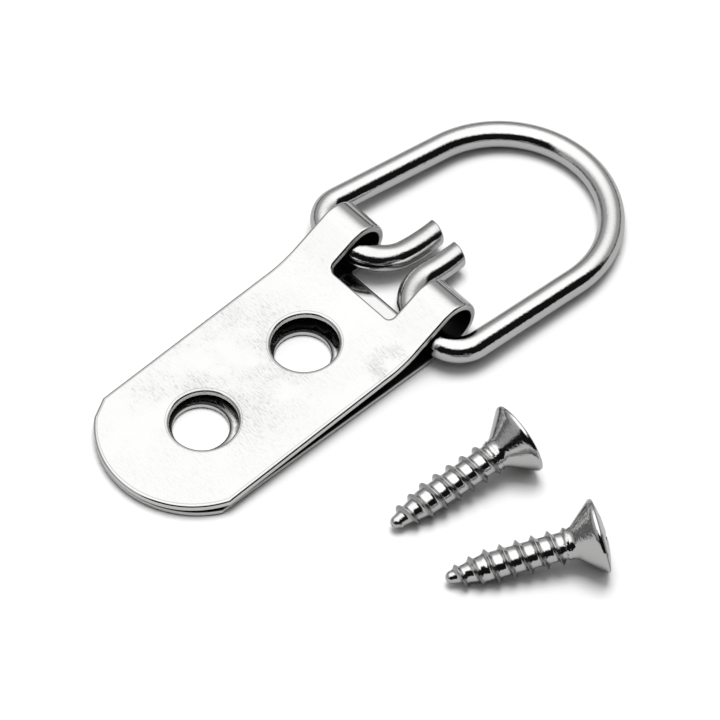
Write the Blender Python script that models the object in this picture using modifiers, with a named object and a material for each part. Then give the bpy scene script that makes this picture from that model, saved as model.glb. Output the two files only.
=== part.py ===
"""D-ring picture hanger: a strap folded from steel strip, a wire ring in its eyes and two wood screws.

Lengths are in metres. The strap's flat back lies on z = 0 with the origin midway between its screw holes,
+Y towards the ring and +Z away from the surface that the strap is screwed to.
"""
from math import asin, atan, cos, pi, radians, sin, tan

import bmesh
import bpy
from mathutils import Quaternion

# Strap: the strip, its two leaves and the fold
STRIP_THICKNESS = 0.00065
STRAP_WIDTH = 0.0164
LEAF_GAP = 0.0001
LEAF_ANGLE = radians(2.73)
RAMP_ANGLE = radians(26.0)
RAMP_FOOT_RADIUS = 0.009
LOWER_LEAF_SETBACK = 0.0001

# Strap: screw holes, round end and the notch between the knuckles
HOLE_SPACING = 0.0123
UPPER_HOLE_DIAMETER = 0.00637
LOWER_HOLE_DIAMETER = 0.0052
END_FROM_HOLE = 0.00985
END_CROWN = 0.00572
END_SKEW = -0.00035
EYE_FROM_HOLE = 0.0109
EYE_PLAY = 0.0008
NOTCH_UPPER_DEPTH = 0.0041
NOTCH_LOWER_DEPTH = 0.00145
NOTCH_SIDE_CLEARANCE = 0.00123

# Ring: the wire, the D and the two ends in the notch
WIRE_DIAMETER = 0.0025
RING_REACH = 0.02425
RING_LEG_CLEARANCE = 0.00055
RING_LEG_SPLAY = radians(2.73)
RING_CORNER_RADIUS = 0.00275
RING_END_LENGTH = 0.0078
RING_END_BEND_RADIUS = 0.004
RING_END_GAP = 0.00074
RING_END_SHIFT = -0.0001
RING_SIDE_SHIFT = -0.00015
RING_SETBACK = 0.0013
RING_YAW = radians(5.2)
RESTING_CLEARANCE = 0.0003

# Screws: sizes shared by both
SCREW_LENGTH = 0.01422
HEAD_DIAMETER = 0.00676
HEAD_RIM = 0.0003
HEAD_DOME = 0.0004
HEAD_CONE_ANGLE = radians(41.0)
NECK_DIAMETER = 0.0028
NECK_FILLET = 0.0008
NECK_LENGTH = 0.0003
CORE_DIAMETER = 0.0025
POINT_LENGTH = 0.0024
POINT_RADIUS = 0.00045
THREAD_DIAMETER = 0.0034
THREAD_PITCH = 0.00145
THREAD_FLANK = 0.00028
THREAD_START = 0.0006
THREAD_TAPER = 0.0042
THREAD_RUN_OUT = 0.0008
THREAD_OVERRUN = 0.0003
THREAD_SINK = 0.0002
RECESS_SPAN = 0.004
RECESS_FOOT = 0.0016
RECESS_SLOT = 0.0009
RECESS_DEPTH = 0.0022

# Screws: where each point lies, the heading from point to head and the turn about its own axis
SCREW_POSES = {
    "screw_1": (0.01949, -0.00122, radians(81.7), radians(130.5)),
    "screw_2": (0.02694, -0.00164, radians(59.6), radians(232.8)),
}

# Facets of the round shapes
HOLE_SIDES = 48
FOLD_STEPS = 24
FOOT_STEPS = 6
END_STEPS = 20
RING_BEND_STEPS = 8
RING_FAR_STEPS = 18
WIRE_BEVEL_RESOLUTION = 6
SCREW_SIDES = 32
THREAD_TURN_STEPS = 24
HEAD_CURVE_STEPS = 6

# Sizes that follow from the ones above
SHARP_ANGLE = radians(35.0)
WELD_DISTANCE = 1e-7
CUT_ALLOWANCE = 0.0003
CUTTER_REACH = STRAP_WIDTH + EYE_FROM_HOLE
WIRE_RADIUS = WIRE_DIAMETER / 2
EYE_RADIUS = WIRE_RADIUS + EYE_PLAY
EYE_CENTRE_Y = HOLE_SPACING / 2 + EYE_FROM_HOLE
LEAF_SPLIT_Z = STRIP_THICKNESS + LEAF_GAP / 2
UPPER_END_Y = -(HOLE_SPACING / 2 + END_FROM_HOLE)
LOWER_END_Y = UPPER_END_Y + LOWER_LEAF_SETBACK
RING_AXIS_Y = EYE_CENTRE_Y - RING_SETBACK
RING_AXIS_Z = STRIP_THICKNESS + RESTING_CLEARANCE + WIRE_RADIUS
NOTCH_WIDTH = 2 * WIRE_DIAMETER + RING_END_GAP + 2 * NOTCH_SIDE_CLEARANCE
HEAD_RIM_Z = SCREW_LENGTH - HEAD_RIM
LYING_ANGLE = atan((HEAD_DIAMETER - THREAD_DIAMETER) / 2 / (HEAD_RIM_Z - THREAD_TAPER))
CONE_FOOT_Z = HEAD_RIM_Z - (HEAD_DIAMETER - NECK_DIAMETER) / 2 / tan(HEAD_CONE_ANGLE)
FILLET_Z = CONE_FOOT_Z - NECK_FILLET * tan(HEAD_CONE_ANGLE / 2)
NECK_Z = FILLET_Z - NECK_LENGTH
THREAD_TOP = FILLET_Z + THREAD_OVERRUN

# Maps a flat outline's own x, y and depth to the object's y, z and x
SIDE_VIEW = (pi / 2, 0.0, pi / 2)


def clear_scene():
    """Remove every object that the file opened with."""
    for obj in list(bpy.data.objects):
        bpy.data.objects.remove(obj, do_unlink=True)


def new_collection(name):
    collection = bpy.data.collections.new(name)
    bpy.context.scene.collection.children.link(collection)
    return collection


def plated_steel(name, colour, roughness):
    """Bright plated steel as a Principled material."""
    material = bpy.data.materials.new(name)
    material.use_nodes = True
    shader = material.node_tree.nodes["Principled BSDF"]
    shader.inputs["Base Color"].default_value = (*colour, 1.0)
    shader.inputs["Roughness"].default_value = roughness
    shader.inputs["Metallic"].default_value = 1.0
    return material


def arc(centre, radius, start, end, steps):
    """Points along a circular arc, both ends included."""
    angles = [start + (end - start) * i / steps for i in range(steps + 1)]
    return [(centre[0] + radius * cos(a), centre[1] + radius * sin(a)) for a in angles]


def welded_mesh(obj, name):
    """The object's evaluated shape as a mesh with its loose caps joined on."""
    bpy.context.view_layer.update()
    graph = bpy.context.evaluated_depsgraph_get()
    mesh = bpy.data.meshes.new_from_object(obj.evaluated_get(graph))
    mesh.name = name
    bm = bmesh.new()
    bm.from_mesh(mesh)
    bmesh.ops.remove_doubles(bm, verts=bm.verts, dist=WELD_DISTANCE)
    bm.to_mesh(mesh)
    bm.free()
    return mesh


def replace_by_mesh(source, collection):
    """Swap a curve, or an object with modifiers, for a plain mesh object in the same place."""
    name = source.name
    mesh = welded_mesh(source, name)
    matrix = source.matrix_world.copy()
    bpy.data.objects.remove(source, do_unlink=True)
    obj = bpy.data.objects.new(name, mesh)
    obj.matrix_world = matrix
    collection.objects.link(obj)
    return obj


def curve_object(name, points, dimensions, cyclic, collection):
    """A curve object with one straight-segment spline through the points."""
    curve = bpy.data.curves.new(name, "CURVE")
    curve.dimensions = dimensions
    spline = curve.splines.new("POLY")
    spline.points.add(len(points) - 1)
    for spline_point, point in zip(spline.points, points):
        x, y, *rest = point
        spline_point.co = (x, y, rest[0] if rest else 0.0, 1.0)
    spline.use_cyclic_u = cyclic
    obj = bpy.data.objects.new(name, curve)
    collection.objects.link(obj)
    return obj


def flat_solid(name, outline, half_depth, collection, location=(0, 0, 0), rotation=(0, 0, 0)):
    """A flat outline given a depth to both sides of its plane, as a closed mesh."""
    obj = curve_object(name, outline, "2D", True, collection)
    obj.data.fill_mode = "BOTH"
    obj.data.extrude = half_depth
    obj.location = location
    obj.rotation_euler = rotation
    return replace_by_mesh(obj, collection)


def round_cutter(name, diameter, low, high, place, collection):
    """An upright cylinder between two heights."""
    mesh = bpy.data.meshes.new(name)
    bm = bmesh.new()
    bmesh.ops.create_cone(bm, cap_ends=True, segments=HOLE_SIDES, radius1=diameter / 2,
                          radius2=diameter / 2, depth=high - low)
    bm.to_mesh(mesh)
    bm.free()
    obj = bpy.data.objects.new(name, mesh)
    obj.location = (*place, (low + high) / 2)
    collection.objects.link(obj)
    return obj


def as_cutter(obj):
    """Mark an object as a tool for shaping others, not a piece."""
    obj.hide_render = True
    obj.display_type = "WIRE"
    return obj


def combine(obj, tool, operation):
    modifier = obj.modifiers.new(tool.name, "BOOLEAN")
    modifier.operation = operation
    modifier.object = as_cutter(tool)


def finish(obj, material):
    """Give a piece its material and smooth shading with crisp edges."""
    obj.data.materials.clear()
    obj.data.materials.append(material)
    obj.data.shade_smooth()
    obj.data.set_sharp_from_angle(angle=SHARP_ANGLE)


def fold_path():
    """The strip's middle line seen from the side, lower leaf first, as (y, z, heading)."""
    half = STRIP_THICKNESS / 2
    fold_radius = EYE_RADIUS + half
    path = [(LOWER_END_Y - CUT_ALLOWANCE, half, 0.0)]
    for i in range(FOLD_STEPS + 1):
        heading = (pi + RAMP_ANGLE) * i / FOLD_STEPS
        y = EYE_CENTRE_Y + fold_radius * sin(heading)
        z = half + fold_radius * (1 - cos(heading))
        path.append((y, z, heading))

    ramp_y, ramp_z, _ = path[-1]
    leaf_z = STRIP_THICKNESS + LEAF_GAP + half
    rise = ramp_z - leaf_z - (ramp_y - UPPER_END_Y) * tan(LEAF_ANGLE)
    corner_y = ramp_y - rise / (tan(RAMP_ANGLE) - tan(LEAF_ANGLE))
    corner_z = leaf_z + (corner_y - UPPER_END_Y) * tan(LEAF_ANGLE)
    tangent = RAMP_FOOT_RADIUS * tan((RAMP_ANGLE - LEAF_ANGLE) / 2)
    foot_y = corner_y + tangent * cos(RAMP_ANGLE)
    foot_z = corner_z + tangent * sin(RAMP_ANGLE)
    centre_y = foot_y - RAMP_FOOT_RADIUS * sin(RAMP_ANGLE)
    centre_z = foot_z + RAMP_FOOT_RADIUS * cos(RAMP_ANGLE)
    for i in range(FOOT_STEPS + 1):
        slope = RAMP_ANGLE + (LEAF_ANGLE - RAMP_ANGLE) * i / FOOT_STEPS
        y = centre_y + RAMP_FOOT_RADIUS * sin(slope)
        z = centre_z - RAMP_FOOT_RADIUS * cos(slope)
        path.append((y, z, pi + slope))
    end_y = UPPER_END_Y - CUT_ALLOWANCE
    path.append((end_y, leaf_z - CUT_ALLOWANCE * tan(LEAF_ANGLE), pi + LEAF_ANGLE))
    return path


def strip_outline():
    """The folded strip's side view: its middle line moved half a thickness out, then back inside."""
    half = STRIP_THICKNESS / 2
    path = fold_path()
    outside = [(y + half * sin(h), z - half * cos(h)) for y, z, h in path]
    inside = [(y - half * sin(h), z + half * cos(h)) for y, z, h in path]
    return outside + inside[::-1]


def round_end_cutter(name, end_y, low, high, collection):
    """What is trimmed off one leaf to leave its shallow round end, whose centre sits a little to one side."""
    half_width = STRAP_WIDTH / 2
    right_reach = half_width - END_SKEW
    radius = (END_CROWN ** 2 + right_reach ** 2) / (2 * END_CROWN)
    centre_y = end_y + radius
    left = asin((half_width + END_SKEW) / radius)
    right = asin(right_reach / radius)
    outside = half_width + CUT_ALLOWANCE
    far_y = end_y - CUTTER_REACH
    outline = [(-outside, centre_y - radius * cos(left))]
    outline += arc((END_SKEW, centre_y), radius, -pi / 2 - left, -pi / 2 + right, END_STEPS)
    outline += [(outside, centre_y - radius * cos(right)), (outside, far_y), (-outside, far_y)]
    return flat_solid(name, outline, (high - low) / 2, collection, location=(0, 0, (low + high) / 2))


def notch_cutter(collection):
    """The stepped slot between the knuckles, cut further back in the upper leaf than in the lower one."""
    upper_y = EYE_CENTRE_Y - NOTCH_UPPER_DEPTH
    lower_y = EYE_CENTRE_Y - NOTCH_LOWER_DEPTH
    front_y = EYE_CENTRE_Y + CUTTER_REACH
    step_z = RING_AXIS_Z - WIRE_RADIUS
    outline = [(upper_y, step_z), (lower_y, step_z), (lower_y, -CUTTER_REACH), (front_y, -CUTTER_REACH),
               (front_y, CUTTER_REACH), (upper_y, CUTTER_REACH)]
    return flat_solid("notch_cutter", outline, NOTCH_WIDTH / 2, collection, rotation=SIDE_VIEW)


def make_strap(parts, cutters, material):
    """Folded strip, trimmed to its round end, with the screw holes and the notch cut through it."""
    strap = flat_solid("hanger_strap", strip_outline(), STRAP_WIDTH / 2, parts, rotation=SIDE_VIEW)
    leaves = (
        ("upper", UPPER_END_Y, UPPER_HOLE_DIAMETER, LEAF_SPLIT_Z, CUTTER_REACH),
        ("lower", LOWER_END_Y, LOWER_HOLE_DIAMETER, -CUTTER_REACH, LEAF_SPLIT_Z),
    )
    for leaf, end_y, diameter, low, high in leaves:
        combine(strap, round_end_cutter(leaf + "_end_cutter", end_y, low, high, cutters), "DIFFERENCE")
        for number, side in ((1, -1), (2, 1)):
            place = (0, side * HOLE_SPACING / 2)
            hole = round_cutter(f"{leaf}_hole_cutter_{number}", diameter, low, high, place, cutters)
            combine(strap, hole, "DIFFERENCE")
    combine(strap, notch_cutter(cutters), "DIFFERENCE")
    finish(strap, material)


def ring_half(side):
    """Half of the ring's middle line in its own plane, from the wire's end to the middle of the far bow.

    The straight base lies on the hinge axis, y = 0. A corner arc turns the wire through a right angle
    and the splay, and the leg is the common tangent of that arc and the far bow.
    """
    bow = STRAP_WIDTH / 2 + RING_LEG_CLEARANCE + WIRE_RADIUS
    bow_centre = RING_REACH - bow
    corner = RING_CORNER_RADIUS
    leg_offset = bow_centre * sin(RING_LEG_SPLAY) + bow
    base_end = (leg_offset - corner * (1 + sin(RING_LEG_SPLAY))) / cos(RING_LEG_SPLAY)
    end_x = (WIRE_DIAMETER + RING_END_GAP) / 2 + side * RING_END_SHIFT
    bend = min(RING_END_BEND_RADIUS, base_end - end_x)
    half = [(end_x, RING_END_LENGTH)]
    half += arc((end_x + bend, bend), bend, pi, 1.5 * pi, RING_BEND_STEPS)
    half += arc((base_end, corner), corner, -pi / 2, RING_LEG_SPLAY, RING_BEND_STEPS)
    half += arc((0, bow_centre), bow, RING_LEG_SPLAY, pi / 2, RING_FAR_STEPS)
    return [(side * x, y) for x, y in half]


def make_ring(parts, material):
    """Round wire bent to a D, lying with its far bow on the table and its base in the eyes."""
    middle_line = ring_half(-1) + ring_half(1)[-2::-1]
    ring = curve_object("d_ring", middle_line, "3D", False, parts)
    ring.data.bevel_depth = WIRE_RADIUS
    ring.data.bevel_resolution = WIRE_BEVEL_RESOLUTION
    ring.data.use_fill_caps = True
    ring.data.materials.append(material)
    tilt = asin((RING_AXIS_Z - WIRE_RADIUS) / RING_REACH)
    ring.location = (RING_SIDE_SHIFT, RING_AXIS_Y, RING_AXIS_Z)
    ring.rotation_euler = (-tilt, 0, -RING_YAW)


def screw_profile():
    """The screw's turned outline without its thread, head first, as (radius, height)."""
    head = HEAD_DIAMETER / 2
    neck = NECK_DIAMETER / 2
    core = CORE_DIAMETER / 2
    dome_radius = (HEAD_DOME ** 2 + head ** 2) / (2 * HEAD_DOME)
    dome_angle = asin(head / dome_radius)
    dome_centre = (0, SCREW_LENGTH + HEAD_DOME - dome_radius)
    profile = arc(dome_centre, dome_radius, pi / 2, pi / 2 - dome_angle, HEAD_CURVE_STEPS)
    profile.append((head, HEAD_RIM_Z))
    fillet_centre = (neck + NECK_FILLET, FILLET_Z)
    profile += arc(fillet_centre, NECK_FILLET, pi - HEAD_CONE_ANGLE, pi, HEAD_CURVE_STEPS)
    profile += [(neck, NECK_Z), (core, NECK_Z - (neck - core)), (core, POINT_LENGTH)]
    profile += arc((0, POINT_RADIUS), POINT_RADIUS, 0, -pi / 2, HEAD_CURVE_STEPS)
    return profile


def turned_solid(name, profile, collection):
    """A profile spun round the z axis."""
    mesh = bpy.data.meshes.new(name)
    vertices = [(r if r > WELD_DISTANCE else 0.0, 0.0, z) for r, z in profile]
    mesh.from_pydata(vertices, [(i, i + 1) for i in range(len(vertices) - 1)], [])
    obj = bpy.data.objects.new(name, mesh)
    collection.objects.link(obj)
    spin = obj.modifiers.new("turned", "SCREW")
    spin.steps = SCREW_SIDES
    spin.render_steps = SCREW_SIDES
    spin.use_merge_vertices = True
    spin.merge_threshold = WELD_DISTANCE
    return obj


def core_radius(height):
    """The shank's radius at a height above the point, without the thread."""
    along = min(max((height - POINT_RADIUS) / (POINT_LENGTH - POINT_RADIUS), 0.0), 1.0)
    return POINT_RADIUS + along * (CORE_DIAMETER / 2 - POINT_RADIUS)


def crest_radius(height):
    """The thread's radius: it tapers along the table towards the point and runs out at both ends."""
    full = THREAD_DIAMETER / 2 - max(0.0, THREAD_TAPER - height) * tan(LYING_ANGLE)
    sunk = core_radius(height) - THREAD_SINK / 2
    run_out = min((height - THREAD_START) / THREAD_RUN_OUT, (THREAD_TOP - height) / THREAD_RUN_OUT, 1.0)
    return sunk + (full - sunk) * run_out


def thread_ridge(collection):
    """The thread: a three-sided ridge wound round the shank, with its base sunk into the steel."""
    ridge_height = THREAD_DIAMETER / 2 - CORE_DIAMETER / 2 + THREAD_SINK
    count = round((THREAD_TOP - THREAD_START) / THREAD_PITCH * THREAD_TURN_STEPS)
    path = []
    scales = []
    for i in range(count + 1):
        height = THREAD_START + (THREAD_TOP - THREAD_START) * i / count
        angle = 2 * pi * height / THREAD_PITCH
        base = core_radius(height) - THREAD_SINK
        path.append((base * cos(angle), base * sin(angle), height))
        scales.append((crest_radius(height) - base) / ridge_height)
    flank = THREAD_FLANK * ridge_height / (ridge_height - THREAD_SINK)
    triangle = [(0, flank), (ridge_height, 0), (0, -flank)]
    section = curve_object("thread_section", triangle, "2D", True, collection)
    ridge = curve_object("thread_ridge", path, "3D", False, collection)
    for spline_point, scale in zip(ridge.data.splines[0].points, scales):
        spline_point.radius = scale
    ridge.data.twist_mode = "Z_UP"
    ridge.data.bevel_mode = "OBJECT"
    ridge.data.bevel_object = as_cutter(section)
    ridge.data.use_fill_caps = True
    return replace_by_mesh(ridge, collection)


def recess_cutter(name, turn, collection):
    """One slot of the cross recess: a wedge that narrows towards its foot."""
    top = SCREW_LENGTH + HEAD_DOME + CUT_ALLOWANCE
    foot = SCREW_LENGTH + HEAD_DOME - RECESS_DEPTH
    widen = (RECESS_SPAN - RECESS_FOOT) / RECESS_DEPTH * CUT_ALLOWANCE / 2
    half_top = RECESS_SPAN / 2 + widen
    outline = [(-RECESS_FOOT / 2, foot), (RECESS_FOOT / 2, foot), (half_top, top), (-half_top, top)]
    return flat_solid(name, outline, RECESS_SLOT / 2, collection, rotation=(pi / 2, 0, turn))


def make_screws(parts, cutters, material):
    """Two like screws, shaped upright on their points and then laid on the table."""
    blank = turned_solid("screw_blank", screw_profile(), parts)
    combine(blank, thread_ridge(cutters), "UNION")
    for number, turn in ((1, 0.0), (2, pi / 2)):
        combine(blank, recess_cutter(f"recess_cutter_{number}", turn, cutters), "DIFFERENCE")
    blank = replace_by_mesh(blank, parts)
    finish(blank, material)
    mesh = blank.data
    bpy.data.objects.remove(blank, do_unlink=True)

    point_z = HEAD_DIAMETER / 2 * cos(LYING_ANGLE) - HEAD_RIM_Z * sin(LYING_ANGLE)
    roll_reach = point_z / tan(LYING_ANGLE)
    for name, (x, y, heading, spin) in SCREW_POSES.items():
        pivot = bpy.data.objects.new(name + "_roll_pivot", None)
        pivot.location = (x - roll_reach * cos(heading), y - roll_reach * sin(heading), 0)
        pivot.rotation_euler = (0, 0, heading)
        parts.objects.link(pivot)
        screw = bpy.data.objects.new(name, mesh)
        screw.parent = pivot
        screw.location = (roll_reach, 0, point_z)
        screw.rotation_mode = "QUATERNION"
        lay_down = Quaternion((0, 1, 0), pi / 2 - LYING_ANGLE)
        screw.rotation_quaternion = lay_down @ Quaternion((0, 0, 1), spin)
        parts.objects.link(screw)


clear_scene()
hanger = new_collection("d_ring_picture_hanger")
tools = new_collection("cutters")
make_strap(hanger, tools, plated_steel("strap_nickel", (0.80, 0.80, 0.79), 0.22))
make_ring(hanger, plated_steel("ring_nickel", (0.80, 0.80, 0.79), 0.15))
make_screws(hanger, tools, plated_steel("screw_nickel", (0.76, 0.76, 0.75), 0.2))
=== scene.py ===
"""D-ring picture hanger on a white table: the dressed pieces, the light and the camera.

The pieces' sizes are in millimetres until their meshes are made. Materials, light and camera are in metres.
The frame is the strap's own: +Y towards the ring, +Z up.
"""

import bpy
import numpy as np
from mathutils import Matrix, Vector
from mathutils.geometry import delaunay_2d_cdt


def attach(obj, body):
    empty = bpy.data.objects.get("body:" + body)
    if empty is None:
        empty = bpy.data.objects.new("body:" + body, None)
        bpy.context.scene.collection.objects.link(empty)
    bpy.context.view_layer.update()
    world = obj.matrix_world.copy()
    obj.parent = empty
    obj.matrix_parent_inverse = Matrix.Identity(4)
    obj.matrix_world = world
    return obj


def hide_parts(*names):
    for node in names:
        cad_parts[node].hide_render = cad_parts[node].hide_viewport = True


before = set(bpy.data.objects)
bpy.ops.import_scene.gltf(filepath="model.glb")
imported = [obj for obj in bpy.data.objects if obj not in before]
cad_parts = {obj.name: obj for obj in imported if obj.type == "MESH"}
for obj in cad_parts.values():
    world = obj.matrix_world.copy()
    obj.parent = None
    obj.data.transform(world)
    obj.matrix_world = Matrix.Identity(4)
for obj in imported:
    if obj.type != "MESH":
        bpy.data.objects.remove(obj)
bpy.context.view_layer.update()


# The strap: one steel strip, punched flat with its holes, notch and round ends, then folded over a pin.
# The fold makes two knuckles with open eyes. Bright nickel plate, scratched a little in the tumbler.
STRIP_THICKNESS = 0.65
STRIP_WIDTH = 16.4
LOWER_END_Y = -15.9
UPPER_END_Y = -15.99
UPPER_LEAF_Z = 1.075
LEAF_ANGLE = np.radians(2.73)
RAMP_ANGLE = np.radians(26.0)
RAMP_FOOT_RADIUS = 9.0
EYE_RADIUS = 2.05
EYE_Y = 17.05
UPPER_END_CROWN = 5.72
UPPER_END_SKEW = -0.35
UPPER_CLIP_DEPTH = 0.6
UPPER_CLIP_WIDTH = 1.0
LOWER_END_CROWN = 4.9
LOWER_END_SKEW = 0.0
LOWER_LEAF_LEAN = np.tan(np.radians(0.6))
HOLE_Y = 6.15
UPPER_HOLE_RADIUS = 3.185
LOWER_HOLE_RADIUS = 2.6
LOWER_HOLE_SHIFT = -0.18
NOTCH_HALF_WIDTH = 4.1
NOTCH_UPPER_Y = 13.07
NOTCH_LOWER_Y = 15.6
NOTCH_UPPER_CORNER = 0.7
NOTCH_LOWER_CORNER = 0.3
EDGE_CREASE = 0.07
EDGE_ROLL_WIDTH = 0.32
EDGE_ROLL_DEPTH = 0.24
EDGE_BURR = 0.07
EDGE_STEP = 0.25
SHEET_STEP = 0.42
MIDDLE_LINE_STEPS = 40000
ROUND_END_POINTS = 60
HOLE_SIDES = 96
NOTCH_CORNER_POINTS = 10
EDGE_ROLL_POINTS = 9
EDGE_BURR_POINTS = 5
MERGE_DISTANCE = 1e-6
# Painted light on the strap's edges: a grey painted shade line along the crease, and a pale painted highlight
# on cuts that stand upright.
CREASE_PAINTED_SHADE = 0.4
CREASE_END_Y = NOTCH_UPPER_Y - 1.0
CUT_PAINTED_HIGHLIGHT = 0.8
CUT_SLOPE = 0.3
SHARP_ANGLE = np.radians(38.0)
TO_METRES = 0.001
MICROMETRE = 0.000001
CLOUDS_PER_METRE = 210.0
CLOUD_EDGES = (0.34, 0.6)
SCRATCHES_PER_METRE = (1500.0, 9500.0, 900.0)
SCRATCH_TURNS = (-0.15, 0.2, 0.6, 1.5)
SCRATCH_EDGES = (0.6, 0.66)
SCRATCH_DEPTH = 2.0
SCRATCH_ROUGHNESS = 0.12
WEAR_EVERYWHERE = 0.2
RUBBED_CORE = 0.36
SMUDGE_SHARE = 0.25
SMUDGE_TINT = 0.8
DULL_ROUGHNESS = 0.35
# Colours of painted light: a pale painted highlight and a near-black painted shade.
PAINTED_HIGHLIGHT_COLOUR = (0.95, 0.95, 0.94, 1.0)
PAINTED_SHADE_COLOUR = (0.03, 0.03, 0.03, 1.0)


class Shade:
    """One output of a node, on which Python's arithmetic adds Math nodes."""

    def __init__(self, tree, socket):
        self.tree = tree
        self.socket = socket

    def node(self, kind, settings, sockets, output=0):
        """A node of any kind: its settings first, then the value or link of each of its sockets."""
        made = self.tree.nodes.new(kind)
        for name, value in settings.items():
            setattr(made, name, value)
        for name, value in sockets.items():
            if isinstance(value, Shade):
                self.tree.links.new(value.socket, made.inputs[name])
            else:
                made.inputs[name].default_value = value
        return Shade(self.tree, made.outputs[output])

    def math(self, operation, first, second=0.0):
        return self.node("ShaderNodeMath", {"operation": operation}, {0: first, 1: second})

    def __add__(self, other):
        return self.math("ADD", self, other)

    def __sub__(self, other):
        return self.math("SUBTRACT", self, other)

    def __rsub__(self, other):
        return self.math("SUBTRACT", other, self)

    def __mul__(self, other):
        return self.math("MULTIPLY", self, other)

    def __abs__(self):
        return self.math("ABSOLUTE", self)

    __radd__ = __add__
    __rmul__ = __mul__

    def between(self, low, high):
        """0 below low, 1 above high and a smooth step between them."""
        steps = {"From Min": low, "From Max": high}
        return self.node("ShaderNodeMapRange", {"interpolation_type": "SMOOTHSTEP"}, {"Value": self, **steps})

    def noise(self, grains, detail):
        """Noise over this place, with so many grains to its unit of length."""
        return self.node("ShaderNodeTexNoise", {}, {"Vector": self, "Scale": grains, "Detail": detail})

    def mix(self, plain, other):
        """The plain colour where this is 0 and the other one where it is 1."""
        return self.node("ShaderNodeMix", {"data_type": "RGBA"}, {"Factor": self, "A": plain, "B": other}, 2)


def bright_nickel(name, tint, gloss, haze, scratching, rubbed, grain_height, grains_per_metre):
    """Bright nickel plate, close to a mirror. Slow clouds of haze and fine crossing scratches roughen and
    darken it, most at the rubbed places, each given as (spot, reach, strength). A grain of so many micrometres
    breaks up its reflections. Painted light rides on a value at the mesh's points: it fades the plate to a
    near-black painted shade above 0 and to a pale painted highlight below 0."""
    material = bpy.data.materials.new(name)
    material.use_nodes = True
    tree = material.node_tree
    plate = tree.nodes["Principled BSDF"]
    plate.inputs["Metallic"].default_value = 1.0
    place = Shade(tree, tree.nodes.new("ShaderNodeTexCoord").outputs["Object"])
    clouds = place.noise(CLOUDS_PER_METRE, detail=5.0)
    grain = place.noise(grains_per_metre, detail=3.0)
    painted_shading = place.node("ShaderNodeAttribute", {"attribute_name": "painted_shading"}, {}, "Fac")
    scratches = 0.0
    for turn in SCRATCH_TURNS:
        drawn = place.node("ShaderNodeMapping", {}, {"Vector": place, "Rotation": (0.0, 0.0, turn),
                                                     "Scale": SCRATCHES_PER_METRE})
        scratches = drawn.noise(1.0, detail=2.0).between(*SCRATCH_EDGES) + scratches
    handled = WEAR_EVERYWHERE
    for spot, reach, strength in rubbed:
        away = place.node("ShaderNodeVectorMath", {"operation": "DISTANCE"}, {0: place, 1: spot}, "Value")
        handled = strength * (1 - away.between(RUBBED_CORE * reach, reach)) + handled
    worn = clouds.between(*CLOUD_EDGES) * handled
    marks = scratches * worn * scratching
    smudged = SMUDGE_TINT * np.array(tint)
    clean = (worn * SMUDGE_SHARE + marks).mix((*tint, 1.0), (*smudged, 1.0))
    # Painted light from the mesh's point value: a pale painted highlight below 0, a dark painted shade above 0.
    pale = (-1.0 * painted_shading).mix(clean, PAINTED_HIGHLIGHT_COLOUR)
    colour = painted_shading.mix(pale, PAINTED_SHADE_COLOUR)
    roughness = gloss + haze * worn + SCRATCH_ROUGHNESS * marks + DULL_ROUGHNESS * abs(painted_shading)
    relief = grain * grain_height - marks * SCRATCH_DEPTH
    bump = place.node("ShaderNodeBump", {}, {"Height": relief, "Distance": MICROMETRE})
    tree.links.new(colour.socket, plate.inputs["Base Color"])
    tree.links.new(roughness.socket, plate.inputs["Roughness"])
    tree.links.new(bump.socket, plate.inputs["Normal"])
    return material


def put_in_scene(name, points, faces, normals, painted_shading, material, body, node):
    """A mesh from whole arrays, in metres at the origin, riding on its body in place of its CAD node. Without
    normals of its own it is smooth up to the sharp angle."""
    mesh = bpy.data.meshes.new(name)
    mesh.from_pydata(points * TO_METRES, [], faces.tolist())
    mesh.polygons.foreach_set("use_smooth", np.ones(len(faces), bool))
    mesh.validate()
    mesh.attributes.new("painted_shading", "FLOAT", "POINT").data.foreach_set("value", painted_shading)
    if normals is None:
        mesh.set_sharp_from_angle(angle=SHARP_ANGLE)
    else:
        mesh.normals_split_custom_set_from_vertices(normals)
    mesh.materials.append(material)
    piece = bpy.data.objects.new(name, mesh)
    bpy.context.scene.collection.objects.link(piece)
    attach(piece, body)
    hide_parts(node)


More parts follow.
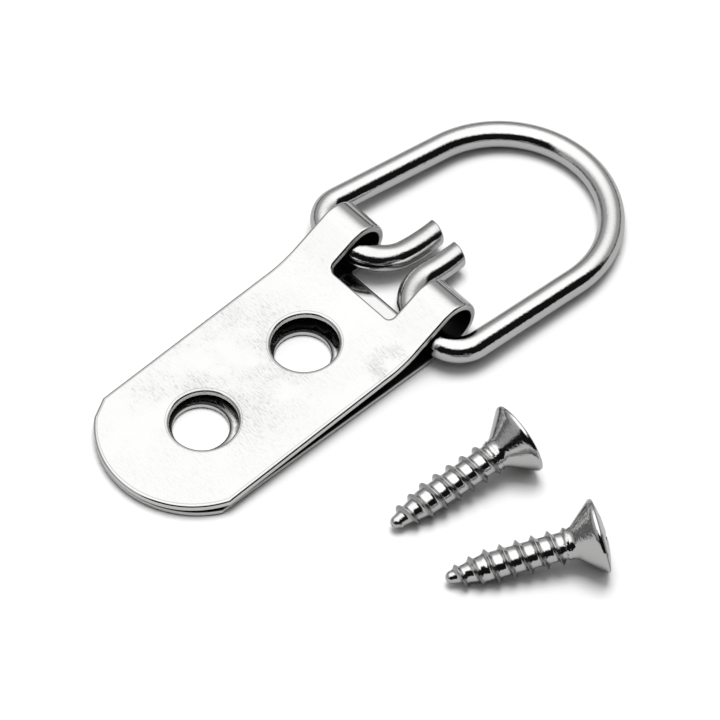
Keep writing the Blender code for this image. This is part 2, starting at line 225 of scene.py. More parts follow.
def folded_middle_line():
    """The strip's middle line as a running sum of its heading, which is level, turns over half way round the
    eye, keeps to the ramp and eases into the upper leaf. Gives arrays of length along it, y, z and heading."""
    fold_radius = EYE_RADIUS + STRIP_THICKNESS / 2
    fold_turn = np.pi + RAMP_ANGLE
    fold_top_y = EYE_Y + fold_radius * np.sin(fold_turn)
    fold_top_z = STRIP_THICKNESS / 2 + fold_radius * (1 - np.cos(fold_turn))
    drop = fold_top_z - UPPER_LEAF_Z - (fold_top_y - UPPER_END_Y) * np.tan(LEAF_ANGLE)
    ramp_run = drop / (np.tan(RAMP_ANGLE) - np.tan(LEAF_ANGLE))
    easing = RAMP_FOOT_RADIUS * np.tan((RAMP_ANGLE - LEAF_ANGLE) / 2)
    ramp = ramp_run / np.cos(RAMP_ANGLE) - easing
    leaf = (fold_top_y - ramp_run - UPPER_END_Y) / np.cos(LEAF_ANGLE) - easing
    lengths = [EYE_Y - LOWER_END_Y, fold_radius * fold_turn, ramp,
               RAMP_FOOT_RADIUS * (RAMP_ANGLE - LEAF_ANGLE), leaf]
    turns = [0.0, fold_turn, fold_turn, np.pi + LEAF_ANGLE, np.pi + LEAF_ANGLE]
    knots = np.concatenate([[0.0], np.cumsum(lengths)])
    along = np.linspace(0.0, knots[-1], MIDDLE_LINE_STEPS + 1)
    heading = np.interp(along, knots, [0.0] + turns)
    step = along[1] - along[0]
    middle = (heading[1:] + heading[:-1]) / 2
    y = LOWER_END_Y + np.concatenate([[0.0], np.cumsum(np.cos(middle))]) * step
    z = STRIP_THICKNESS / 2 + np.concatenate([[0.0], np.cumsum(np.sin(middle))]) * step
    return along, y, z, heading


def resampled(corners, step):
    """Points every step along a closed outline, with its corners kept."""
    spans = np.roll(corners, -1, axis=0) - corners
    counts = np.maximum(np.ceil(np.hypot(*spans.T) / step).astype(int), 1)
    starts = np.repeat(corners, counts, axis=0)
    steps_done = np.arange(counts.sum()) - np.repeat(np.cumsum(counts) - counts, counts)
    share = steps_done / np.repeat(counts, counts)
    return starts + np.repeat(spans, counts, axis=0) * share[:, None]


def outline_normals(loop):
    """Unit normals of an outline that runs with the steel on its left, pointing out of the steel."""
    before = loop - np.roll(loop, 1, axis=0)
    after = np.roll(loop, -1, axis=0) - loop
    tangent = before / np.hypot(*before.T)[:, None] + after / np.hypot(*after.T)[:, None]
    tangent /= np.hypot(*tangent.T)[:, None]
    return np.column_stack([tangent[:, 1], -tangent[:, 0]])


def round_end(crown, skew):
    """An arc right across the strip, as (distance in from its foremost point, place across the strip). The
    crown is that distance at the strip's right-hand side, and the skew is where the foremost point lies."""
    half = STRIP_WIDTH / 2
    right_reach = half - skew
    radius = (crown ** 2 + right_reach ** 2) / (2 * crown)
    left_sweep = np.arcsin((half + skew) / radius)
    sweep = np.linspace(-left_sweep, np.arcsin(right_reach / radius), ROUND_END_POINTS)
    return np.column_stack([radius * (1 - np.cos(sweep)), skew + radius * np.sin(sweep)])


def blank_outlines(total):
    """The flat blank's cut edges as (length along the strip, place across it): the rim, then the openings.
    A straight cut clips the left corner of the upper end."""
    lower_end = round_end(LOWER_END_CROWN, LOWER_END_SKEW)[::-1]
    upper_arc = round_end(UPPER_END_CROWN, UPPER_END_SKEW)
    corner_in, corner_across = upper_arc[0]
    past_clip = upper_arc[:, 1] > corner_across + UPPER_CLIP_WIDTH
    clipped = np.vstack([[corner_in + UPPER_CLIP_DEPTH, corner_across], upper_arc[past_clip]])
    upper_end = np.column_stack([total - clipped[:, 0], clipped[:, 1]])
    rim = resampled(np.concatenate([lower_end, upper_end]), EDGE_STEP)

    def upper(place_y):
        return total - (place_y - UPPER_END_Y) / np.cos(LEAF_ANGLE)

    circle = np.linspace(0.0, -2 * np.pi, HOLE_SIDES, endpoint=False)
    ring = np.column_stack([np.cos(circle), np.sin(circle)])
    openings = []
    for side in (-1, 1):
        lower_centre = np.array([side * HOLE_Y + LOWER_HOLE_SHIFT - LOWER_END_Y, 0.0])
        upper_centre = np.array([upper(side * HOLE_Y), 0.0])
        openings.append(lower_centre + LOWER_HOLE_RADIUS * ring)
        openings.append(upper_centre + UPPER_HOLE_RADIUS * ring)
    quarter = np.linspace(0.0, np.pi / 2, NOTCH_CORNER_POINTS)
    low = NOTCH_LOWER_Y - LOWER_END_Y + NOTCH_LOWER_CORNER
    high = upper(NOTCH_UPPER_Y) - NOTCH_UPPER_CORNER
    notch = []
    for place, rounding, side, start in (
            (low, NOTCH_LOWER_CORNER, 1, np.pi), (high, NOTCH_UPPER_CORNER, 1, np.pi / 2),
            (high, NOTCH_UPPER_CORNER, -1, 0.0), (low, NOTCH_LOWER_CORNER, -1, -np.pi / 2)):
        centre = np.array([place, side * (NOTCH_HALF_WIDTH - rounding)])
        angles = start - quarter
        notch.append(centre + rounding * np.column_stack([np.cos(angles), np.sin(angles)]))
    openings.append(resampled(np.concatenate(notch), EDGE_STEP))
    return [rim] + openings


def edge_profile():
    """A punched edge in section, as (distance in from the cut, depth through the strip, and the two parts of
    its normal): a faint crease, a rolled outer corner, a straight cut and a small burr-rounded inner corner."""
    half = STRIP_THICKNESS / 2
    roll = np.linspace(0.0, np.pi / 2, EDGE_ROLL_POINTS)
    burr = np.linspace(0.0, np.pi / 2, EDGE_BURR_POINTS)
    crease = EDGE_ROLL_WIDTH + EDGE_CREASE
    inset = np.concatenate([[crease], EDGE_ROLL_WIDTH * (1 - np.sin(roll)),
                            EDGE_BURR * (1 - np.cos(burr)), [crease]])
    depth = np.concatenate([[half], half - EDGE_ROLL_DEPTH * (1 - np.cos(roll)),
                            -half + EDGE_BURR * (1 - np.sin(burr)), [-half]])
    out = np.concatenate([[0.0], np.sin(roll) * EDGE_ROLL_DEPTH, np.cos(burr), [0.0]])
    up = np.concatenate([[1.0], np.cos(roll) * EDGE_ROLL_WIDTH, -np.sin(burr), [-1.0]])
    length = np.hypot(out, up)
    return inset, depth, out / length, up / length


def filled_blank(outlines, normals, margin, total):
    """A net of triangles over the blank, from the outlines set in by a margin and a square grid of points clear
    of them, without the triangles that lie in an opening. Gives the points, with those of the outlines first,
    the triangles, and the next point round its outline for each of the outlines' points."""
    rims = np.concatenate([loop - margin * normal for loop, normal in zip(outlines, normals)])
    sizes = np.array([len(loop) for loop in outlines])
    starts = np.cumsum(sizes) - sizes
    following = np.arange(len(rims)) + 1
    following[starts + sizes - 1] = starts
    rows = np.arange(SHEET_STEP, total, SHEET_STEP)
    columns = np.arange(-STRIP_WIDTH / 2 + SHEET_STEP, STRIP_WIDTH / 2, SHEET_STEP)
    sheet = np.stack(np.meshgrid(rows, columns, indexing="ij"), -1).reshape(-1, 2)
    clear = np.full(len(sheet), True)
    for loop, normal in zip(outlines, normals):
        offset = sheet[:, None] - loop[None]
        nearest = np.argmin((offset ** 2).sum(-1), axis=1)
        gap = offset[np.arange(len(sheet)), nearest]
        clear &= (gap * normal[nearest]).sum(-1) < -(margin + 0.5 * SHEET_STEP)
    flat = np.concatenate([rims, sheet[clear]])
    edges = np.column_stack([np.arange(len(rims)), following])
    _, _, net, sources, _, _ = delaunay_2d_cdt(flat.tolist(), edges.tolist(), [], 1, MERGE_DISTANCE)
    corners = np.concatenate(sources)[np.array(net)]
    owner = np.repeat(np.arange(len(sizes)), sizes)
    owners = np.where(corners < len(rims), owner[np.minimum(corners, len(rims) - 1)], -1)
    in_opening = (owners[:, 0] > 0) & (owners[:, 0] == owners[:, 1]) & (owners[:, 1] == owners[:, 2])
    return flat, corners[~in_opening], following


def strap_painted_shading(points, upwards, lower_leaf, count, rim_count):
    """The painted light at each point of the strap: a full painted shade on the inner face where the leaves
    cover each other, painted shade on the cuts by the root of how far they tilt to a covered side, a pale
    painted highlight (below 0) where they stand upright, and a faint painted shade line (a little above 0)
    along the crease, up to its end near the notch."""
    on_inner_face = np.arange(len(points)) // count == 1
    in_notch = (np.abs(points[:, 0]) < NOTCH_HALF_WIDTH) & (points[:, 1] > NOTCH_UPPER_Y)
    in_hole = np.hypot(points[:, 0], np.abs(points[:, 1]) - HOLE_Y) < UPPER_HOLE_RADIUS
    open_to_light = (lower_leaf > 0) & (in_notch | in_hole)
    painted_shading = (on_inner_face & ~open_to_light).astype(float)
    cuts = slice(2 * count, None)
    tilt = upwards[cuts]
    covered = np.where(lower_leaf[cuts] > 0, np.abs(tilt), np.maximum(-tilt, 0.0))
    painted_shading[cuts] = covered ** 0.5 - CUT_PAINTED_HIGHLIGHT * (np.abs(tilt) < CUT_SLOPE)
    crease = slice(2 * count, 2 * count + rim_count)
    painted_shading[crease] = CREASE_PAINTED_SHADE * np.clip(CREASE_END_Y - points[crease, 1], 0.0, 1.0)
    return painted_shading


def folded_strap():
    """The blank's two faces, filled between its cut edges, and the edge profile carried along every cut.
    A point at (along, across, depth) goes to the middle line at that length plus depth times its normal."""
    along, y, z, heading = folded_middle_line()
    outlines = blank_outlines(along[-1])
    normals = [outline_normals(loop) for loop in outlines]
    inset, depth, out, up = edge_profile()
    flat, corners, following = filled_blank(outlines, normals, inset[0], along[-1])

    loops = np.concatenate(outlines)
    loop_normals = np.concatenate(normals)
    count = len(flat)
    inner = np.arange(1, len(inset) - 1)
    wall = loops[None] - inset[inner][:, None, None] * loop_normals[None]
    developed = np.concatenate([flat, flat, wall.reshape(-1, 2)])
    through = np.concatenate([np.full(count, depth[0]), np.full(count, depth[-1]),
                              np.repeat(depth[inner], len(loops))])
    sideways = np.concatenate([np.zeros((2 * count, 2)),
                               (out[inner][:, None, None] * loop_normals[None]).reshape(-1, 2)])
    upwards = np.concatenate([np.ones(count), -np.ones(count), np.repeat(up[inner], len(loops))])

    turn = np.interp(developed[:, 0], along, heading)
    lower_leaf = np.maximum(EYE_Y - LOWER_END_Y - developed[:, 0], 0.0)
    points = np.column_stack([developed[:, 1] - LOWER_LEAF_LEAN * lower_leaf,
                              np.interp(developed[:, 0], along, y) + through * np.sin(turn),
                              np.interp(developed[:, 0], along, z) - through * np.cos(turn)])
    facing = np.column_stack([sideways[:, 1],
                              sideways[:, 0] * np.cos(turn) + upwards * np.sin(turn),
                              sideways[:, 0] * np.sin(turn) - upwards * np.cos(turn)])

    outer_rim = np.arange(len(loops))
    wall_rows = 2 * count + np.arange(len(inner) * len(loops)).reshape(len(inner), -1)
    ladder = np.vstack([outer_rim, wall_rows, count + outer_rim])
    near, far = ladder[:-1], ladder[1:]
    quads = np.stack([near, far, far[:, following], near[:, following]], -1).reshape(-1, 4)
    walls = np.concatenate([quads[:, [0, 1, 2]], quads[:, [0, 2, 3]]])
    faces = np.concatenate([corners, corners[:, ::-1] + count, walls])
    return points, faces, facing, strap_painted_shading(points, upwards, lower_leaf, count, len(loops))


# The strap's colour carries painted shade between its leaves and on its cut edges, and a painted highlight on
# its upright cuts.
points, faces, facing, painted_shading = folded_strap()
strap_rubbed = [((-0.003, -0.001, 0.002), 0.011, 0.8), ((0.0072, 0.0099, 0.0025), 0.0026, 1.8)]
strap_nickel = bright_nickel("strap_nickel_plate", tint=(0.66, 0.66, 0.655), gloss=0.08, haze=0.1,
                             scratching=1.0, rubbed=strap_rubbed, grain_height=0.8, grains_per_metre=4200.0)
put_in_scene("folded_strap", points, faces, facing, painted_shading, strap_nickel,
             body="strap", node="hanger_strap")


# The ring: one length of round steel wire bent to a D, with both ends turned in through the strap's notch.
# Drawn wire is smooth, so its bright nickel plate is close to a mirror, and each end is sheared at a slant.
WIRE_RADIUS = 1.25
RING_REACH = 24.25
RING_BOW_RADIUS = 10.0
RING_CORNER_RADIUS = 2.75
RING_LEG_SPLAY = np.radians(2.73)
RING_BEND_START = 5.7
RING_END_LENGTH = 7.9
RING_END_X = {-1: 1.72, 1: 1.5}
RING_END_CURL = {-1: 0.37, 1: -0.33}
RING_END_LIFT = {-1: 0.65, 1: 0.25}
RING_PLACE = np.array([-0.15, 15.75, 2.2])
RING_YAW = np.radians(5.2)
RING_TILT = np.arcsin(0.95 / RING_REACH)
END_SHEAR = 0.28
END_LIP = 0.42
END_CUT_LENGTH = 3.1
END_ROUNDING = 0.2
END_FACE_RADIUS = 0.5
RING_SIDES = 64
END_POINTS = 9
SHEARED_POINTS = 6
BASE_POINTS = 10
LEG_POINTS = 22
BEND_POINTS = 41
BOW_POINTS = 81
ROUNDING_POINTS = 6


def arc_points(centre, radius, start, end, count):
    """Points on a circular arc, both ends included."""
    angles = np.linspace(start, end, count)
    return np.column_stack([centre[0] + radius * np.cos(angles), centre[1] + radius * np.sin(angles)])


def points_between(start, end, count):
    """Points that part a straight line evenly, without its ends."""
    share = np.linspace(0.0, 1.0, count + 2)[1:-1, None]
    return start + share * (end - start)


def half_ring(side):
    """Half of the ring's middle line: the end, its bend, the base, the corner, the leg and half the bow. The
    end curls sideways as the square of its length. From the corner to the notch a smooth step lifts the wire
    out of the ring's plane, and the lift fades as the square of the distance to the tip."""
    bow_centre = RING_REACH - RING_BOW_RADIUS
    leg_offset = bow_centre * np.sin(RING_LEG_SPLAY) + RING_BOW_RADIUS
    corner_width = RING_CORNER_RADIUS * (1 + np.sin(RING_LEG_SPLAY))
    base_end = (leg_offset - corner_width) / np.cos(RING_LEG_SPLAY)
    corner_centre = (base_end, RING_CORNER_RADIUS)
    bend_radius = RING_BEND_START - RING_END_X[side]
    share = np.linspace(1.0, 0.0, END_POINTS)
    end = np.column_stack([RING_END_X[side] + RING_END_CURL[side] * share ** 2,
                           bend_radius + share * (RING_END_LENGTH - bend_radius)])
    bend = arc_points((RING_BEND_START, bend_radius), bend_radius, np.pi, 1.5 * np.pi, BEND_POINTS)[1:]
    corner = arc_points(corner_centre, RING_CORNER_RADIUS, -np.pi / 2, RING_LEG_SPLAY, BEND_POINTS)
    bow = arc_points((0.0, bow_centre), RING_BOW_RADIUS, RING_LEG_SPLAY, np.pi / 2, BOW_POINTS)
    base = points_between(bend[-1], corner[0], BASE_POINTS)
    leg = points_between(corner[-1], bow[0], LEG_POINTS)
    turned_in = np.concatenate([end, bend, base])
    inwards = np.clip((base_end - turned_in[:, 0]) / (base_end - NOTCH_HALF_WIDTH), 0.0, 1.0)
    fading = (1 - turned_in[:, 1] / RING_END_LENGTH) ** 2
    lift = RING_END_LIFT[side] * inwards ** 2 * (3 - 2 * inwards) * fading
    half = np.concatenate([turned_in, corner, leg, bow])
    height = np.concatenate([lift, np.zeros(len(half) - len(lift))])
    return np.column_stack([side * half[:, 0], half[:, 1], height])


def swept_wire():
    """A circle carried along the middle line: middle + radius * (cos a * sideways + sin a * upright). At both
    ends the circle shrinks over a small rounding, and a shear along the wire makes the slanted cut."""
    spine = np.concatenate([half_ring(-1), half_ring(1)[-2::-1]])
    middle, height = spine[:, :2], spine[:, 2]
    tangent = np.gradient(middle, axis=0)
    tangent /= np.hypot(*tangent.T)[:, None]
    shrink = np.linspace(0.0, np.pi / 2, ROUNDING_POINTS + 1)[1:]
    radii = np.concatenate([[0.0, END_FACE_RADIUS], WIRE_RADIUS - END_ROUNDING * (1 - np.sin(shrink))])
    ahead = np.concatenate([[0.0, 0.0], END_ROUNDING * (1 - np.cos(shrink))]) - END_ROUNDING
    first = middle[0] + np.outer(ahead, tangent[0])
    last = middle[-1] - np.outer(ahead[::-1], tangent[-1])
    line = np.concatenate([first, middle[1:-1], last])
    along = np.concatenate([np.repeat(tangent[:1], len(first), 0), tangent[1:-1],
                            np.repeat(tangent[-1:], len(last), 0)])
    radius = np.concatenate([radii, np.full(len(middle) - 2, WIRE_RADIUS), radii[::-1]])
    height = np.concatenate([np.full(len(first), height[0]), height[1:-1], np.full(len(last), height[-1])])
    sideways = np.column_stack([-along[:, 1], along[:, 0]])
    angle = np.linspace(0.0, 2 * np.pi, RING_SIDES, endpoint=False)
    across = radius[:, None] * np.cos(angle)
    flat = line[:, None] + across[..., None] * sideways[:, None]
    rise = height[:, None] + radius[:, None] * np.sin(angle)
    from_end = np.minimum(np.arange(len(line)), np.arange(len(line))[::-1])
    near_end = from_end < len(first) + SHEARED_POINTS
    aside = (flat[..., 0] - line[:, None, 0]) / WIRE_RADIUS
    shear = np.where(near_end[:, None], END_LIP * np.maximum(-aside, 0.0) ** 3 - END_SHEAR * aside, 0.0)
    reach = np.clip(1 - (RING_END_LENGTH - flat[..., 1]) / END_CUT_LENGTH, 0.0, 1.0)
    flat[..., 1] += shear * reach
    return np.concatenate([flat, rise[..., None]], -1)


def tube_faces(rows, columns):
    """Triangles of a grid that is closed round its columns."""
    index = np.arange(rows * columns).reshape(rows, columns)
    beside = np.roll(index, -1, axis=1)
    quads = np.stack([index[:-1], index[1:], beside[1:], beside[:-1]], -1).reshape(-1, 4)
    return np.concatenate([quads[:, [0, 1, 2]], quads[:, [0, 2, 3]]])


def welded(points, faces, grain=1e-5):
    """Points that coincide are made one, and the faces that shrink to a line or a point are left out."""
    _, first, index = np.unique(np.round(points / grain), axis=0, return_index=True, return_inverse=True)
    faces = index.reshape(-1)[faces]
    a, b, c = faces.T
    return points[first], faces[(a != b) & (b != c) & (c != a)]


def turned(points, matrix):
    """Points through a 4 by 4 matrix."""
    matrix = np.array(matrix)
    return points @ matrix[:3, :3].T + matrix[:3, 3]


grid = swept_wire()
points, faces = welded(grid.reshape(-1, 3), tube_faces(*grid.shape[:2]))
lay_in_eyes = (Matrix.Translation(RING_PLACE) @ Matrix.Rotation(-RING_YAW, 4, "Z")
               @ Matrix.Rotation(-RING_TILT, 4, "X"))
ring_rubbed = [((0.0, 0.02, 0.003), 0.011, 0.8)]
ring_nickel = bright_nickel("ring_nickel_plate", tint=(0.66, 0.66, 0.655), gloss=0.06, haze=0.05,
                            scratching=0.1, rubbed=ring_rubbed, grain_height=13.0, grains_per_metre=5200.0)
put_in_scene("wire_ring", turned(points, lay_in_eyes), faces, None, np.zeros(len(points)), ring_nickel,
             body="ring", node="d_ring")


# The screws: two like wood screws with rolled threads, countersunk heads and a cross recess for the driver.
# Turned and rolled steel under bright nickel plate. They lie loose on the table beside the hanger.
SCREW_LENGTH = 14.22
HEAD_RADIUS = 3.38
HEAD_RIM = 0.3
HEAD_DOME = 0.52
HEAD_CONE_ANGLE = np.radians(41.0)
HEAD_ROUNDING = 0.08
HEAD_BORDER = 0.35
CONE_ROUNDING = 0.03
RIM_ROUNDING = 0.05
DOME_EDGE = 0.005
NECK_RADIUS = 1.4
NECK_FILLET = 0.8
NECK_DROP = 0.3
NECK_STEP = 0.15
CORE_RADIUS = 1.25
POINT_LENGTH = 3.6
POINT_RADIUS = 0.58
THREAD_RADIUS = 1.7
THREAD_PITCH = 1.45
THREAD_HALF_WIDTH = 0.36
THREAD_START = 0.45
THREAD_TAPER = 4.2
THREAD_RUN_OUT = 0.8
THREAD_PAST_NECK = 0.3
FLANK_POWER = 1.35
FLANK_PHASES = np.array([0.012, 0.03, 0.06, 0.1, 0.15, 0.2, 0.26])
# Painted shade on the thread's flanks, ending this far below the fillet.
FLANK_PAINTED_SHADE = 0.75
FLANK_END = 0.5
VALLEY_STEPS = 4
SPARE_TURNS = 3
RECESS_HALF_SPAN = 2.0
RECESS_HALF_FOOT = 0.8
RECESS_HALF_SLOT = 0.45
RECESS_DEPTH = 2.32
RECESS_TIP = 0.3
SCREW_SIDES = 96
FILLET_POINTS = 9
CONE_STEPS = 7
DOME_STEPS = 8
RECESS_STEPS = 6
FLOOR_STEPS = 3
HEAD_RIM_Z = SCREW_LENGTH - HEAD_RIM
HEAD_BORDER_Z = SCREW_LENGTH - 0.05
HEAD_TOP_Z = SCREW_LENGTH + HEAD_DOME
CONE_FOOT_Z = HEAD_RIM_Z - (HEAD_RADIUS - NECK_RADIUS) / np.tan(HEAD_CONE_ANGLE)
FILLET_Z = CONE_FOOT_Z - NECK_FILLET * np.tan(HEAD_CONE_ANGLE / 2)
THREAD_TOP = FILLET_Z + THREAD_PAST_NECK
LYING_ANGLE = np.arctan((HEAD_RADIUS - THREAD_RADIUS) / (HEAD_RIM_Z - THREAD_TAPER))
SCREW_POSES = {
    "screw_1": (19.49, -1.22, np.radians(81.7), np.radians(130.5)),
    "screw_2": (26.94, -1.64, np.radians(59.6), np.radians(232.8)),
}


def shank_radius(height):
    """The shank without its thread: a rounded point, a cone up to the core, then a step to the neck."""
    below_centre = POINT_RADIUS - np.minimum(height, POINT_RADIUS)
    ball = np.sqrt(np.maximum(POINT_RADIUS ** 2 - below_centre ** 2, 0.0))
    cone = np.interp(height, [POINT_RADIUS, POINT_LENGTH], [POINT_RADIUS, CORE_RADIUS])
    neck_z = FILLET_Z - NECK_DROP
    neck = np.interp(height, [neck_z - NECK_STEP, neck_z], [0.0, NECK_RADIUS - CORE_RADIUS])
    return np.where(height < POINT_RADIUS, ball, cone) + neck


def threaded_radius(height, from_crest):
    """The shank's radius plus the thread, which rises as a power of the nearness to its crest line."""
    core = shank_radius(height)
    crest = THREAD_RADIUS - np.maximum(0.0, THREAD_TAPER - height) * np.tan(LYING_ANGLE)
    run_out = np.minimum((height - THREAD_START) / THREAD_RUN_OUT, (THREAD_TOP - height) / THREAD_RUN_OUT)
    rise = np.maximum(crest - core, 0.0) * np.clip(run_out, 0.0, 1.0)
    nearness = np.clip(1 - np.abs(from_crest) / THREAD_HALF_WIDTH, 0.0, 1.0)
    return core + rise * nearness ** FLANK_POWER


def thread_strip():
    """The shank as one strip wound up the screw, a pitch tall, so that the crest is always a grid line.
    Height = pitch * (turns so far + place within the pitch), held between the point and the fillet."""
    valley = np.linspace(FLANK_PHASES[-1], 0.5, VALLEY_STEPS + 1)[1:]
    phases = np.concatenate([-valley[::-1], -FLANK_PHASES[::-1], FLANK_PHASES, valley[:-1]])
    turns = int(np.ceil(FILLET_Z / THREAD_PITCH)) + SPARE_TURNS
    level = (np.arange(turns)[:, None] - 1 + phases[None]).reshape(-1)
    from_crest = np.tile(phases, turns) * THREAD_PITCH
    column = np.arange(SCREW_SIDES) / SCREW_SIDES
    height = np.clip((level[:, None] + column[None]) * THREAD_PITCH, 0.0, FILLET_Z)
    radius = threaded_radius(height, np.repeat(from_crest[:, None], SCREW_SIDES, 1))
    index = np.arange(height.size).reshape(height.shape)
    beside = np.roll(index, -1, axis=1)
    beside[:, -1] = np.roll(index[:, 0], -len(phases))
    usable = len(level) - len(phases) - 1
    quads = np.stack([index[:-1], beside[:-1], beside[1:], index[1:]], -1)[:usable].reshape(-1, 4)
    angle = 2 * np.pi * column
    points = np.stack([radius * np.cos(angle), radius * np.sin(angle), height], -1)
    return points.reshape(-1, 3), np.concatenate([quads[:, [0, 1, 2]], quads[:, [0, 2, 3]]])


def screw_painted_shade(points):
    """The painted shade at each point of a screw: most in a thin painted shade line round the head's top, and
    painted shade on the thread's flanks between the crests, as the share of the way from core to crest times
    one less its fourth power."""
    radius = np.hypot(points[:, 0], points[:, 1])
    above_core = np.clip((radius - shank_radius(points[:, 2])) / (THREAD_RADIUS - CORE_RADIUS), 0.0, 1.0)
    flanks = np.where(points[:, 2] < FILLET_Z - FLANK_END, above_core * (1 - above_core ** 4), 0.0)
    border = (radius > HEAD_RADIUS - HEAD_BORDER) & (points[:, 2] > HEAD_BORDER_Z)
    return FLANK_PAINTED_SHADE * np.where(border, 1.0, flanks)


def cross_outline(half_span, half_slot):
    """The cross recess at one depth, as one point for each of the screw's columns: two crossed slots. A quarter
    of the columns go to the slots' ends and the rest to their sides."""
    eighth = np.pi / 4
    column = np.arange(SCREW_SIDES) * 2 * np.pi / SCREW_SIDES
    from_slot = (column + eighth) % (2 * eighth) - eighth
    tip = np.arctan2(half_slot, half_span)
    spread = np.interp(np.abs(from_slot), [0.0, eighth / 4, eighth], [0.0, tip, eighth])
    quarter = np.floor((column + eighth) / (2 * eighth)) * 2 * eighth
    angle = quarter + np.sign(from_slot) * spread
    radius = np.minimum(half_span / np.cos(spread), half_slot / np.maximum(np.sin(spread), 1e-6))
    return np.column_stack([radius * np.cos(angle), radius * np.sin(angle)])


def steps_to(start, end, count):
    """Rings or points that lead in even steps from the start, which is left out, to the end."""
    share = np.linspace(0.0, 1.0, count + 1)[1:, None, None]
    return start + share * (end - start)


def screw_head():
    """Rings from the fillet out over the cone, rim and dome, then down the cross recess to its foot."""
    angle = np.arange(SCREW_SIDES) * 2 * np.pi / SCREW_SIDES
    circle = np.column_stack([np.cos(angle), np.sin(angle)])
    fillet_centre = (NECK_RADIUS + NECK_FILLET, FILLET_Z)
    fillet = arc_points(fillet_centre, NECK_FILLET, np.pi, np.pi - HEAD_CONE_ANGLE, FILLET_POINTS)
    cone_top = np.array([HEAD_RADIUS - CONE_ROUNDING, HEAD_RIM_Z - CONE_ROUNDING])
    cone = steps_to(fillet[-1], cone_top, CONE_STEPS)[:, 0]
    top_radius = HEAD_RADIUS - HEAD_ROUNDING
    shoulder = 0.3 * HEAD_ROUNDING
    rim = np.array([[HEAD_RADIUS, HEAD_RIM_Z + RIM_ROUNDING], [HEAD_RADIUS, SCREW_LENGTH - HEAD_ROUNDING],
                    [HEAD_RADIUS - shoulder, SCREW_LENGTH - shoulder], [top_radius, SCREW_LENGTH + DOME_EDGE]])
    profile = np.concatenate([fillet, cone, rim])
    sides = np.concatenate([profile[:, :1, None] * circle[None],
                            np.repeat(profile[:, 1:, None], SCREW_SIDES, 1)], -1)
    dome_radius = (HEAD_DOME ** 2 + HEAD_RADIUS ** 2) / (2 * HEAD_DOME)

    def on_dome(flat):
        height = np.sqrt(dome_radius ** 2 - (flat ** 2).sum(-1)) + HEAD_TOP_Z - dome_radius
        return np.concatenate([flat, height[..., None]], -1)

    mouth = cross_outline(RECESS_HALF_SPAN, RECESS_HALF_SLOT)
    foot = cross_outline(RECESS_HALF_FOOT, RECESS_HALF_SLOT)
    foot_z = HEAD_TOP_Z - RECESS_DEPTH
    foot_edge = np.column_stack([foot, np.full(SCREW_SIDES, foot_z)])
    dome = on_dome(steps_to(top_radius * circle, mouth, DOME_STEPS))
    walls = steps_to(on_dome(mouth), foot_edge, RECESS_STEPS)
    floor = steps_to(foot_edge, np.array([0.0, 0.0, foot_z - RECESS_TIP]), FLOOR_STEPS)
    return np.concatenate([sides, dome, walls, floor])


shank, shank_faces = thread_strip()
head = screw_head()
head_faces = tube_faces(*head.shape[:2])[:, ::-1] + len(shank)
points, faces = welded(np.concatenate([shank, head.reshape(-1, 3)]),
                       np.concatenate([shank_faces, head_faces]))
# The screws' colour carries painted shade on the thread's flanks and round the head's top.
painted_shading = screw_painted_shade(points)
screw_rubbed = [((0.02, 0.0, 0.002), 0.011, 0.8)]
screw_nickel = bright_nickel("screw_nickel_plate", tint=(0.67, 0.67, 0.665), gloss=0.07, haze=0.1,
                             scratching=0.3, rubbed=screw_rubbed, grain_height=16.0, grains_per_metre=3600.0)
point_z = HEAD_RADIUS * np.cos(LYING_ANGLE) - HEAD_RIM_Z * np.sin(LYING_ANGLE)
for node, (x, y, heading, spin) in SCREW_POSES.items():
    lay_down = (Matrix.Translation((x, y, point_z)) @ Matrix.Rotation(heading, 4, "Z")
                @ Matrix.Rotation(np.pi / 2 - LYING_ANGLE, 4, "Y") @ Matrix.Rotation(spin, 4, "Z"))
    put_in_scene("wood_" + node, turned(points, lay_down), faces, None, painted_shading, screw_nickel,
                 body="loose_" + node, node=node)


# The table: a large plain disc with no gloss. It shows white to the camera with the soft shadows round the
# pieces, and a light grey in the metal.
TABLE_RADIUS = 3000.0
TABLE_SIDES = 128
TABLE_GREY = (0.36, 0.36, 0.36, 1.0)
TABLE_WHITE = (0.65, 0.65, 0.65, 1.0)
angle = np.linspace(0.0, 2 * np.pi, TABLE_SIDES, endpoint=False)
disc = TABLE_RADIUS * np.column_stack([np.cos(angle), np.sin(angle), np.zeros(TABLE_SIDES)])
table_mesh = bpy.data.meshes.new("white_table")
table_mesh.from_pydata(disc * TO_METRES, [], [list(range(TABLE_SIDES))])
table = bpy.data.objects.new("white_table", table_mesh)
bpy.context.scene.collection.objects.link(table)
paper = bpy.data.materials.new("white_paper")
paper.use_nodes = True
tree = paper.node_tree
tree.nodes.clear()
seen = Shade(tree, tree.nodes.new("ShaderNodeLightPath").outputs["Is Camera Ray"])
lit = seen.node("ShaderNodeBsdfDiffuse", {}, {"Color": seen.mix(TABLE_GREY, TABLE_WHITE)}, "BSDF")
output = tree.nodes.new("ShaderNodeOutputMaterial")
tree.links.new(lit.socket, output.inputs["Surface"])
table_mesh.materials.append(paper)


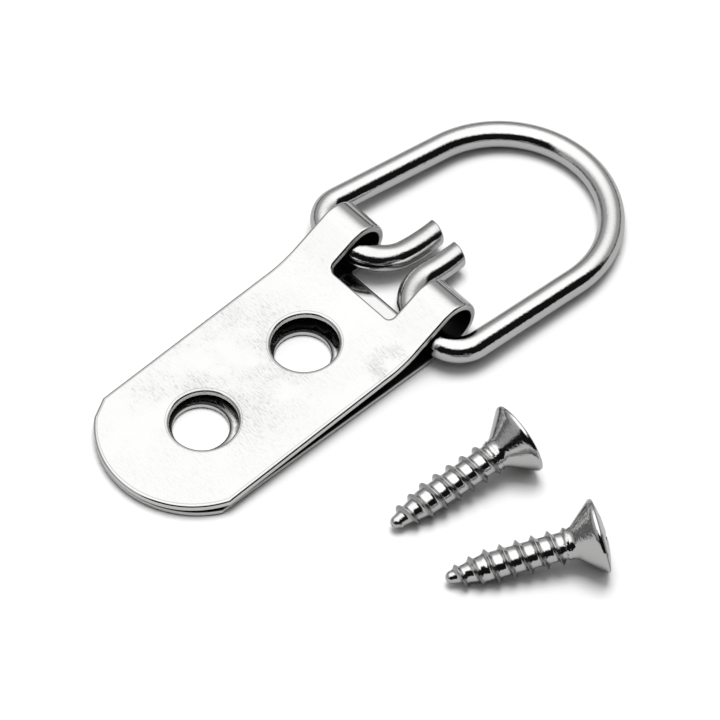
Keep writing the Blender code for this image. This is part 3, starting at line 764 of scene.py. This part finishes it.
# The light: a white tent that thins to grey low down on the far side and is open to a dark room on the
# camera's side, so that bright metal has black bands between the sky and the table. A soft lamp hangs
# overhead, a little to the far side, and makes the shadows.
DARK_SIDE = np.radians(338.0)
OPENING_COSINE = 0.26
OPENING_EDGES = (-0.06, 0.06)
FAR_HORIZON = 0.12
FAR_WALL = 0.33
FAR_WALL_RISE = (0.05, 0.3)
FAR_ROOF = 1.07
FAR_ROOF_RISE = (0.45, 0.86)
NEAR_ROOM = 0.008
NEAR_ROOF = 1.512
NEAR_ROOF_RISE = (0.77, 0.89)
LAMP_POWER = 6.5
LAMP_SIZE = 0.4
LAMP_PLACE = (-0.06, 0.085, 0.8)
world = bpy.data.worlds.new("light_tent")
bpy.context.scene.world = world
world.use_nodes = True
tree = world.node_tree
ray = Shade(tree, tree.nodes.new("ShaderNodeTexCoord").outputs["Generated"])
split = tree.nodes.new("ShaderNodeSeparateXYZ")
tree.links.new(ray.socket, split.inputs["Vector"])
east, north, up = (Shade(tree, split.outputs[axis]) for axis in ("X", "Y", "Z"))
level = up.math("SQRT", 1 - up * up)
towards_dark = east * np.cos(DARK_SIDE) + north * np.sin(DARK_SIDE)
open_side = (towards_dark - OPENING_COSINE * level).between(*OPENING_EDGES)
far_level = FAR_HORIZON + FAR_WALL * up.between(*FAR_WALL_RISE) + FAR_ROOF * up.between(*FAR_ROOF_RISE)
near_level = NEAR_ROOM + NEAR_ROOF * up.between(*NEAR_ROOF_RISE)
brightness = far_level * (1 - open_side) + near_level * open_side
background = tree.nodes["Background"]
background.inputs["Color"].default_value = (1.0, 1.0, 1.0, 1.0)
tree.links.new(brightness.socket, background.inputs["Strength"])

lamp = bpy.data.lights.new("soft_lamp", "AREA")
lamp.energy = LAMP_POWER
lamp.size = LAMP_SIZE
lamp_object = bpy.data.objects.new("soft_lamp", lamp)
lamp_object.location = LAMP_PLACE
lamp_object.rotation_euler = lamp_object.location.to_track_quat("Z", "Y").to_euler()
lamp_object.visible_glossy = False
bpy.context.scene.collection.objects.link(lamp_object)


# The camera: a long lens above the right-hand side of the strap, as in the photograph.
VIEW_AZIMUTH = np.radians(47.221)
VIEW_ELEVATION = np.radians(52.912)
VIEW_ROLL = np.radians(0.118)
VIEW_DISTANCE = 0.50919
VIEW_TARGET = Vector((0.00352, 0.009703, 0.0))
SENSOR_WIDTH = 36.0
FOCAL_LENGTH = 279.67
NEAREST_SEEN = 0.01
camera = bpy.data.cameras.new("camera")
camera.sensor_width = SENSOR_WIDTH
camera.lens = FOCAL_LENGTH
camera.clip_start = NEAREST_SEEN
camera_object = bpy.data.objects.new("camera", camera)
bpy.context.scene.collection.objects.link(camera_object)
camera_object.matrix_world = (Matrix.Translation(VIEW_TARGET) @ Matrix.Rotation(VIEW_AZIMUTH, 4, "Z")
                              @ Matrix.Rotation(np.pi / 2 - VIEW_ELEVATION, 4, "X")
                              @ Matrix.Rotation(VIEW_ROLL, 4, "Z")
                              @ Matrix.Translation((0, 0, VIEW_DISTANCE)))
bpy.context.scene.camera = camera_object
bpy.context.scene.view_settings.view_transform = "Standard"
